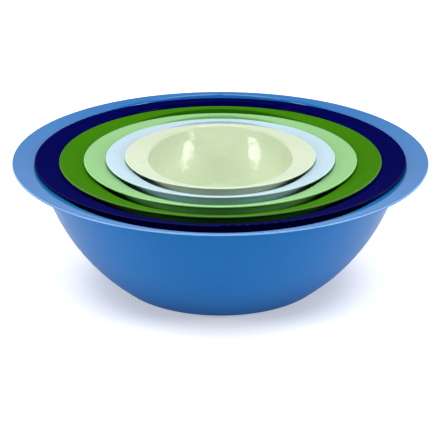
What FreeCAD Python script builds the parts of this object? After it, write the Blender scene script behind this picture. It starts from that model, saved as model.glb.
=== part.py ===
"""Nest of six moulded mixing bowls at rest: each bowl stands on the floor of the next larger one.

Units are millimetres, +Z is up, and the origin is the centre of the largest bowl's foot on the table.
Every bowl is one moulding: a shallow foot ring, a floor, a curved wall and a thin flange round the mouth.
The flange is a round disc but the mouth is an oval, longer from front (-Y) to back (+Y) than from side
to side, so the flange is a wide finger grip at both sides and only a narrow lip at the front and back.
"""
import FreeCAD, Part
import math
import os

Vector = FreeCAD.Vector

# Outermost bowl first. rim: rim radius. rise: rim height above the largest bowl's rim. grip: flange width
# at the sides. lip: flange width at the front and back. foot: foot radius. slope: flange slope, degrees.
BOWLS = {
    "blue_bowl": dict(rim=146.0, rise=0.0, grip=22.6, lip=5.0, foot=70.5, slope=9.0),
    "navy_bowl": dict(rim=130.2, rise=0.3, grip=22.4, lip=4.8, foot=62.0, slope=9.0),
    "green_bowl": dict(rim=113.0, rise=-0.3, grip=22.0, lip=4.5, foot=54.0, slope=9.0),
    "light_green_bowl": dict(rim=95.8, rise=0.1, grip=20.2, lip=4.2, foot=46.0, slope=9.0),
    "light_blue_bowl": dict(rim=80.4, rise=1.1, grip=17.3, lip=4.0, foot=38.0, slope=9.0),
    "cream_bowl": dict(rim=66.9, rise=2.2, grip=16.4, lip=3.5, foot=30.5, slope=5.0),
}

NEST_HEIGHT = 90.5      # table to the rim of the largest bowl
WALL = 3.5              # wall thickness of the largest bowl
WALL_STEP = 0.2         # how much thinner each smaller bowl's wall is than the last
FLANGE = 2.0            # flange thickness of the largest bowl
FLANGE_STEP = 0.1       # how much thinner each smaller bowl's flange is than the last
FLOOR = 4.0             # floor thickness over the recess
RECESS = 3.5            # height of the hollow inside the foot ring
FOOT_RING = 6.0         # radial width of the foot ring
FOOT_ROUND = 3.5        # rounding from the foot ring to the outside wall
FLOOR_REACH = 3.5       # how far the inside floor's edge lies beyond the foot radius
FLOOR_ROUND = 10.0      # rounding from the inside wall to the floor
MOUTH_ROUND = 1.8       # rounding from the flange to the inside wall
SIDE_BULGE = 20.0       # half of the angle a wall's arc turns through at the sides, degrees
FRONT_BULGE = 13.0      # the same at the front and back
SECTIONS = 10           # oval sections lofted up each wall
OVERSHOOT = 6.0         # how far the lofted tools run on above the rim
OVALITY = 1e-5          # keeps the long axis along Y where an oval is as good as round


def wall_arc(bottom, top, bulge):
    """Radius as a function of height, on an outward-bulging arc through two (radius, height) points."""
    run, rise = top[0] - bottom[0], top[1] - bottom[1]
    chord = math.hypot(run, rise)
    arc_radius = chord / (2 * math.sin(math.radians(bulge)))
    set_back = arc_radius * math.cos(math.radians(bulge))
    centre_r = (top[0] + bottom[0]) / 2 - set_back * rise / chord
    centre_z = (top[1] + bottom[1]) / 2 + set_back * run / chord
    return lambda height: centre_r + math.sqrt(arc_radius ** 2 - (height - centre_z) ** 2)


def oval(half_width, half_depth, height):
    """Closed oval wire, half_width along X and half_depth along Y."""
    centre = Vector(0, 0, height)
    curve = Part.Ellipse(Vector(0, half_depth + OVALITY, height), Vector(half_width, 0, height), centre)
    return Part.Wire(curve.toShape())


def oval_solid(bottom, side_top, front_top, end_z, rounding):
    """Solid lofted up from a rounded, round bottom, through its side and front wall tops, to end_z."""
    side = wall_arc(bottom, side_top, SIDE_BULGE)
    front = wall_arc(bottom, front_top, FRONT_BULGE)
    step = (end_z - bottom[1]) / (SECTIONS - 1)
    heights = [bottom[1] + step * k for k in range(SECTIONS)]
    solid = Part.makeLoft([oval(side(z), front(z), z) for z in heights], True)
    bottom_edges = [edge for edge in solid.Edges if edge.BoundBox.ZMax < bottom[1] + 0.01]
    return solid.makeFillet(rounding, bottom_edges)


def lines(points):
    """Straight edges in the XZ plane through (radius, height) points."""
    corners = [Vector(radius, 0, height) for radius, height in points]
    return [Part.LineSegment(a, b).toShape() for a, b in zip(corners, corners[1:])]


def turned(edges):
    """Solid of revolution about Z from edges that close a profile in the XZ plane."""
    return Part.Face(Part.Wire(edges)).revolve(Vector(0, 0, 0), Vector(0, 0, 1), 360)


def flange_disc(middle, inner_r, edge_r, half, tilt):
    """Coned disc with a full-round edge. middle gives the height of its middle surface at a radius."""
    across, up = half * math.sin(tilt), half * math.cos(tilt)
    inner_z, edge_z = middle(inner_r), middle(edge_r)
    upper = [(inner_r - across, inner_z + up), (edge_r - across, edge_z + up)]
    lower = [(edge_r + across, edge_z - up), (inner_r + across, inner_z - up)]
    start = Vector(upper[1][0], 0, upper[1][1])
    tip = Vector(edge_r + up, 0, edge_z + across)
    end = Vector(lower[0][0], 0, lower[0][1])
    full_round = Part.Arc(start, tip, end).toShape()
    return turned(lines(upper) + [full_round] + lines(lower + upper[:1]))


def make_bowl(index, foot_z, rim, rise, grip, lip, foot, slope):
    """One bowl standing at foot_z. Returns its solid and the height of its inside floor."""
    tilt = math.radians(slope)
    wall = WALL - WALL_STEP * index
    half = (FLANGE - FLANGE_STEP * index) / 2
    edge_r = rim - half
    edge_z = NEST_HEIGHT + rise - half
    floor_z = foot_z + RECESS + FLOOR
    end_z = NEST_HEIGHT + OVERSHOOT

    def middle(radius):
        return edge_z - (edge_r - radius) * math.tan(tilt)

    def on_middle(radius):
        return (radius, middle(radius))

    def at_mouth(edge):
        point = edge.valueAt((edge.FirstParameter + edge.LastParameter) / 2)
        radius = math.hypot(point.x, point.y)
        return edge.BoundBox.YLength > 1 and radius < edge_r - 1 and point.z > middle(radius) + half / 2

    # The outside of the wall is cut off inside the flange's thickness, then the flange goes on.
    outside = oval_solid(
        (foot, foot_z), on_middle(rim - grip + wall), on_middle(rim - lip + wall), end_z, FOOT_ROUND)
    below = foot_z - 1
    under_flange = turned(lines([(0, below), (rim, below), on_middle(rim), on_middle(0), (0, below)]))
    flange = flange_disc(middle, rim - grip - 3 * wall, edge_r, half, tilt)
    bowl = outside.common(under_flange).fuse(flange)

    # The hollow of the bowl and the recess under its floor.
    inside = oval_solid(
        (foot + FLOOR_REACH, floor_z), on_middle(rim - grip), on_middle(rim - lip), end_z, FLOOR_ROUND)
    recess_r = foot - FOOT_RING
    recess = Part.makeCone(recess_r, recess_r - RECESS, RECESS, Vector(0, 0, foot_z))
    bowl = bowl.cut(inside).cut(recess).removeSplitter()
    bowl = bowl.makeFillet(MOUTH_ROUND, [edge for edge in bowl.Edges if at_mouth(edge)])
    return bowl, floor_z


def main():
    os.makedirs("parts", exist_ok=True)
    foot_z = 0.0
    for index, (name, sizes) in enumerate(BOWLS.items()):
        bowl, foot_z = make_bowl(index, foot_z, **sizes)
        bowl.exportStep("parts/" + name + ".step")


main()
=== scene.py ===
"""Nest of six moulded mixing bowls on a pale table, in soft studio light."""
import math

import bpy
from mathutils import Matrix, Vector


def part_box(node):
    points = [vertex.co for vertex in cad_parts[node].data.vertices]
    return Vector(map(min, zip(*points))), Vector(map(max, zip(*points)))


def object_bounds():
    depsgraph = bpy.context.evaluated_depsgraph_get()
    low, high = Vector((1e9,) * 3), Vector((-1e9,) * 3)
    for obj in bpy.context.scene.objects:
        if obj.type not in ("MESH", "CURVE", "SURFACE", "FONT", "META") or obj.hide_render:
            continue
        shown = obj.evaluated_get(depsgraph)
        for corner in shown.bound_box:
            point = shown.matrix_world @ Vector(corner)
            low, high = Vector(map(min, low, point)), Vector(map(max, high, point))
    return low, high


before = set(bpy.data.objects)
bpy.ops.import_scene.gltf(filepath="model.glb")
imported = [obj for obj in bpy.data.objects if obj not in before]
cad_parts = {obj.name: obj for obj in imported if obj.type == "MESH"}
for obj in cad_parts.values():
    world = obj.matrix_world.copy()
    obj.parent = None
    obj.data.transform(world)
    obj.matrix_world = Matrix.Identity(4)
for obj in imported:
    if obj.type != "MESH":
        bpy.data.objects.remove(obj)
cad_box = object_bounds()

scene = bpy.context.scene

# Colours are linear RGB. The outside and inside-wall multipliers paint shade on the colour outside and on the
# steep inside wall, and on the cream bowl they paint light there. The rim colour is a painted highlight,
# paler, on the rim's rounded edge. rough is the roughness of the gloss, polish its strength inside and on the
# flange, satin its strength outside. ripple is the depth of the surface's unevenness, in metres.
PLASTICS = {
    "blue_bowl": dict(color=(0.010, 0.145, 0.420), outside_painted_shading=(0.6, 0.72, 0.77), inside_wall_painted_shading=(0.7, 0.88, 0.96),
                      rim_highlight_color=(0.170, 0.380, 0.700), rough=0.10, polish=0.65, satin=0.40),
    "navy_bowl": dict(color=(0.0004, 0.0008, 0.066), outside_painted_shading=(0.9, 0.9, 0.9), inside_wall_painted_shading=(0.6, 0.6, 0.85),
                      rim_highlight_color=(0.010, 0.011, 0.085), rough=0.10, polish=0.015, satin=0.02),
    "green_bowl": dict(color=(0.040, 0.180, 0.002), outside_painted_shading=(0.6, 0.75, 0.6), inside_wall_painted_shading=(0.42, 0.58, 0.45),
                       rim_highlight_color=(0.110, 0.250, 0.060), rough=0.10, polish=0.02, satin=0.02),
    "light_green_bowl": dict(color=(0.250, 0.500, 0.205), outside_painted_shading=(0.66, 0.93, 0.62), inside_wall_painted_shading=(0.64, 0.86, 0.60),
                             rim_highlight_color=(0.330, 0.740, 0.250), rough=0.10, polish=0.25, satin=0.05),
    "light_blue_bowl": dict(color=(0.450, 0.600, 0.680), outside_painted_shading=(0.85, 0.95, 1.05), inside_wall_painted_shading=(0.80, 0.84, 0.89),
                            rim_highlight_color=(0.620, 0.780, 0.820), rough=0.10, polish=0.25, satin=0.05),
    "cream_bowl": dict(color=(0.550, 0.630, 0.455), outside_painted_shading=(1.15, 1.15, 1.15), inside_wall_painted_shading=(1.14, 1.14, 1.12),
                       rim_highlight_color=(0.700, 0.820, 0.610), rough=0.17, polish=0.80, satin=0.10, ripple=0.00045),
}

# Where the painted shading zones of a bowl meet. Surfaces that face down are at 0, upright ones at 0.5,
# up-facing ones at 1.
OUTSIDE_END = 0.45
INSIDE_WALL = (0.55, 0.78)
FLANGE_START = 0.93

CLOUDINESS = 0.03       # how far the colour wanders either way, as a part of itself
CLOUD_SCALE = 14.0
RIPPLE_SCALE = 130.0
COAT_IOR = 1.5

TABLE_SIZE = 12.0
TABLE_GAP = 0.0002      # keeps the table just clear of the foot
FOOT = 0.0705           # radius of the nest's foot

SOFTBOX_ASIDE, SOFTBOX_FRONT, SOFTBOX_HEIGHT = 0.98, -0.42, 0.47

LENS = 206.96           # focal length, millimetres, on a sensor of SENSOR_WIDTH
SENSOR_WIDTH = 36.0
DISTANCE = 1.752        # camera to the centre of the largest rim
ELEVATION = 20.0        # of the camera above that centre, degrees
AIM_DOWN = 1.288        # how far below that centre the camera aims, degrees
AIM_LEFT = 0.0827       # how far to its left, degrees


# ---------------------------------------------------------------- materials

def node(tree, kind, **settings):
    """New shader node. A setting is one of the node's own properties or the default of one of its sockets."""
    new = tree.nodes.new(kind)
    for name, value in settings.items():
        if hasattr(new, name):
            setattr(new, name, value)
        else:
            new.inputs[name.replace("_", " ")].default_value = value
    return new


def smooth_range(tree, **limits):
    """Map Range node that eases in and out between its limits."""
    return node(tree, "ShaderNodeMapRange", interpolation_type="SMOOTHSTEP", **limits)


def color_with_painted_shading(tree, place, facing, color, outside_painted_shading, inside_wall_painted_shading):
    """Socket of the plastic's faintly cloudy colour, with painted shade outside and on the inside wall,
    painted light there on the cream bowl.
    """
    link = tree.links.new
    # Which way the surface faces, from down (0) to up (1), tells outside, inside wall and flange apart.
    upward = node(tree, "ShaderNodeMapRange", From_Min=-1.0)
    # This ramp paints shade outside and on the steep inside wall, and leaves the flange its own colour.
    painted_shading_ramp = node(tree, "ShaderNodeValToRGB")
    stops = painted_shading_ramp.color_ramp.elements
    stops[0].position, stops[0].color = OUTSIDE_END, (*outside_painted_shading, 1)
    stops[1].position, stops[1].color = FLANGE_START, (1, 1, 1, 1)
    for position in INSIDE_WALL:
        stops.new(position).color = (*inside_wall_painted_shading, 1)

    clouds = node(tree, "ShaderNodeTexNoise", Scale=CLOUD_SCALE, Detail=3.0, Roughness=0.5)
    tint = node(tree, "ShaderNodeValToRGB")
    shades = (0.35, 1 - CLOUDINESS), (0.65, 1 + CLOUDINESS)
    for stop, (position, shade) in zip(tint.color_ramp.elements, shades):
        stop.position, stop.color = position, (*[c * shade for c in color], 1)

    shaded = node(tree, "ShaderNodeMix", data_type="RGBA", blend_type="MULTIPLY")
    shaded.inputs[0].default_value = 1.0
    link(facing.outputs["Z"], upward.inputs["Value"])
    link(upward.outputs["Result"], painted_shading_ramp.inputs["Fac"])
    link(place.outputs["Object"], clouds.inputs["Vector"])
    link(clouds.outputs["Fac"], tint.inputs["Fac"])
    link(tint.outputs["Color"], shaded.inputs[6])
    link(painted_shading_ramp.outputs["Color"], shaded.inputs[7])
    return shaded.outputs[2]


def rim_highlight_mask(tree, place, facing):
    """Socket that is 1 on the rim's rounded edge, where a highlight is painted; the edge faces outwards and
    up as no other part does.
    """
    link = tree.links.new
    level = node(tree, "ShaderNodeVectorMath", operation="MULTIPLY")
    level.inputs[1].default_value = (1, 1, 0)
    outwards = node(tree, "ShaderNodeVectorMath", operation="NORMALIZE")
    along = node(tree, "ShaderNodeVectorMath", operation="DOT_PRODUCT")
    round_edge = smooth_range(tree, From_Min=0.20, From_Max=0.60)
    upper_half = smooth_range(tree, From_Min=-0.15, From_Max=0.15)
    both = node(tree, "ShaderNodeMath", operation="MULTIPLY")
    link(place.outputs["Object"], level.inputs[0])
    link(level.outputs["Vector"], outwards.inputs[0])
    link(outwards.outputs["Vector"], along.inputs[0])
    link(place.outputs["Normal"], along.inputs[1])
    link(along.outputs["Value"], round_edge.inputs["Value"])
    link(facing.outputs["Z"], upper_half.inputs["Value"])
    link(round_edge.outputs["Result"], both.inputs[0])
    link(upper_half.outputs["Result"], both.inputs[1])
    return both.outputs["Value"]


def gloss_weight(tree, facing, polish, satin):
    """Socket of the gloss's strength: polish on all that faces up or outwards, satin on the outside wall."""
    link = tree.links.new
    # The satin gloss shows more towards the sides, where the wall turns away, and less low down.
    turning = node(tree, "ShaderNodeLayerWeight", Blend=0.5)
    turned = node(tree, "ShaderNodeMapRange", From_Min=0.30, From_Max=0.65, To_Min=0.20)
    lower_wall = node(tree, "ShaderNodeMapRange", From_Min=-0.85, From_Max=-0.45,
                      To_Min=0.2 * satin, To_Max=satin)
    outer_gloss = node(tree, "ShaderNodeMath", operation="MULTIPLY")
    gloss = node(tree, "ShaderNodeMapRange", From_Min=-0.30, From_Max=-0.05, To_Max=polish)
    link(turning.outputs["Facing"], turned.inputs["Value"])
    link(facing.outputs["Z"], lower_wall.inputs["Value"])
    link(turned.outputs["Result"], outer_gloss.inputs[0])
    link(lower_wall.outputs["Result"], outer_gloss.inputs[1])
    link(facing.outputs["Z"], gloss.inputs["Value"])
    link(outer_gloss.outputs["Value"], gloss.inputs["To Min"])
    return gloss.outputs["Result"]


def moulded_plastic(name, color, outside_painted_shading, inside_wall_painted_shading, rim_highlight_color, rough, polish, satin, ripple=0.00002):
    """Moulded plastic, polished inside and on the flange and duller outside, with faintly cloudy colour,
    painted shading and a painted highlight on the rim's edge.
    """
    material = bpy.data.materials.new(name)
    material.use_nodes = True
    tree = material.node_tree
    link = tree.links.new
    shader = tree.nodes["Principled BSDF"]
    shader.inputs["Specular IOR Level"].default_value = 0.0
    shader.inputs["Roughness"].default_value = 0.5
    shader.inputs["Coat IOR"].default_value = COAT_IOR
    shader.inputs["Coat Roughness"].default_value = rough
    place = node(tree, "ShaderNodeTexCoord")
    facing = node(tree, "ShaderNodeSeparateXYZ")
    link(place.outputs["Normal"], facing.inputs["Vector"])

    # A painted highlight: the upper half of the rim's rounded edge is given a paler colour.
    painted_highlight = node(tree, "ShaderNodeMix", data_type="RGBA")
    painted_highlight.inputs[7].default_value = (*rim_highlight_color, 1)
    link(rim_highlight_mask(tree, place, facing), painted_highlight.inputs[0])
    link(color_with_painted_shading(tree, place, facing, color, outside_painted_shading, inside_wall_painted_shading), painted_highlight.inputs[6])
    link(painted_highlight.outputs[2], shader.inputs["Base Color"])
    link(gloss_weight(tree, facing, polish, satin), shader.inputs["Coat Weight"])

    waves = node(tree, "ShaderNodeTexNoise", Scale=RIPPLE_SCALE, Detail=2.0)
    bump = node(tree, "ShaderNodeBump", Strength=1.0, Distance=ripple)
    link(place.outputs["Object"], waves.inputs["Vector"])
    link(waves.outputs["Fac"], bump.inputs["Height"])
    link(bump.outputs["Normal"], shader.inputs["Normal"])
    link(bump.outputs["Normal"], shader.inputs["Coat Normal"])
    return material


for bowl, look in PLASTICS.items():
    plastic = moulded_plastic(bowl + "_plastic", **look)
    for material_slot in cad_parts[bowl].material_slots:
        material_slot.material = plastic


# ---------------------------------------------------------------- table

table_height = cad_box[0][2] - TABLE_GAP
bpy.ops.mesh.primitive_plane_add(size=TABLE_SIZE, location=(0, 0, table_height))
table = bpy.context.object
table.name = "table"
table_white = bpy.data.materials.new("table_white")
table_white.use_nodes = True
table_tree = table_white.node_tree
surface = table_tree.nodes["Principled BSDF"]
surface.inputs["Base Color"].default_value = (0.84, 0.82, 0.78, 1)
surface.inputs["Roughness"].default_value = 0.9
surface.inputs["Specular IOR Level"].default_value = 0.0
surface.inputs["Emission Color"].default_value = (0.98, 0.98, 1.0, 1)
# The table glows, and the glow is turned down close round the nest's foot: a painted shadow there.
spot = node(table_tree, "ShaderNodeNewGeometry")
reach = node(table_tree, "ShaderNodeVectorMath", operation="LENGTH")
glow_with_painted_shadow = smooth_range(table_tree, From_Min=1.08 * FOOT, From_Max=1.64 * FOOT, To_Min=0.34, To_Max=0.72)
table_tree.links.new(spot.outputs["Position"], reach.inputs[0])
table_tree.links.new(reach.outputs["Value"], glow_with_painted_shadow.inputs["Value"])
table_tree.links.new(glow_with_painted_shadow.outputs["Result"], surface.inputs["Emission Strength"])
table.data.materials.append(table_white)

# ---------------------------------------------------------------- light

world = bpy.data.worlds.new("studio")
scene.world = world
world.use_nodes = True
sky = world.node_tree
backdrop = sky.nodes["Background"]
backdrop.inputs["Color"].default_value = (0.985, 0.99, 1.0, 1)
# Bright low down at the sides and up to mid height at the back, dim elsewhere.
toward = node(sky, "ShaderNodeTexCoord")
parts = node(sky, "ShaderNodeSeparateXYZ")
low = node(sky, "ShaderNodeMapRange", From_Min=0.12, From_Max=0.36, To_Min=0.7, To_Max=0.0)
side = node(sky, "ShaderNodeMapRange", From_Min=-1.0, From_Max=-0.4, To_Min=0.25)
low_at_sides = node(sky, "ShaderNodeMath", operation="MULTIPLY")
middle = node(sky, "ShaderNodeMapRange", From_Min=0.45, From_Max=0.75, To_Min=1.0, To_Max=0.15)
back = node(sky, "ShaderNodeMapRange", From_Min=0.0, From_Max=0.9, To_Max=0.85)
middle_at_back = node(sky, "ShaderNodeMath", operation="MULTIPLY")
brighter = node(sky, "ShaderNodeMath", operation="MAXIMUM")
strength = node(sky, "ShaderNodeMapRange", To_Min=0.12, To_Max=1.1)
sky.links.new(toward.outputs["Generated"], parts.inputs["Vector"])
for part, band in (("Z", low), ("Z", middle), ("Y", side), ("Y", back)):
    sky.links.new(parts.outputs[part], band.inputs["Value"])
for first, second, product in ((low, side, low_at_sides), (back, middle, middle_at_back)):
    sky.links.new(first.outputs["Result"], product.inputs[0])
    sky.links.new(second.outputs["Result"], product.inputs[1])
sky.links.new(low_at_sides.outputs["Value"], brighter.inputs[0])
sky.links.new(middle_at_back.outputs["Value"], brighter.inputs[1])
sky.links.new(brighter.outputs["Value"], strength.inputs["Value"])
sky.links.new(strength.outputs["Result"], backdrop.inputs["Strength"])

rim_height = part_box("blue_bowl")[1][2]
rim_centre = Vector((0, 0, rim_height))


def softbox(name, location, size, power):
    """Rectangular area light aimed at the middle of the nest's rim."""
    light = bpy.data.lights.new(name, "AREA")
    light.shape = "RECTANGLE"
    light.size, light.size_y = size
    light.energy = power
    lamp = bpy.data.objects.new(name, light)
    lamp.location = location
    lamp.rotation_euler = (rim_centre - lamp.location).to_track_quat("-Z", "Y").to_euler()
    scene.collection.objects.link(lamp)


for name, aside in (("left_softbox", -SOFTBOX_ASIDE), ("right_softbox", SOFTBOX_ASIDE)):
    softbox(name, Vector((aside, SOFTBOX_FRONT, SOFTBOX_HEIGHT)), size=(0.42, 0.24), power=3.9)
softbox("top_softbox", Vector((0.0, -0.15, 1.5)), size=(1.3, 1.1), power=22.5)

# ---------------------------------------------------------------- camera

camera_data = bpy.data.cameras.new("camera")
camera_data.sensor_width = SENSOR_WIDTH
camera_data.lens = LENS
camera = bpy.data.objects.new("camera", camera_data)
scene.collection.objects.link(camera)
scene.camera = camera
elevation = math.radians(ELEVATION)
camera.location = rim_centre + DISTANCE * Vector((0, -math.cos(elevation), math.sin(elevation)))
camera.rotation_euler = (math.radians(90 - ELEVATION - AIM_DOWN), 0, math.radians(AIM_LEFT))

scene.view_settings.view_transform = "Standard"
scene.view_settings.look = "None"
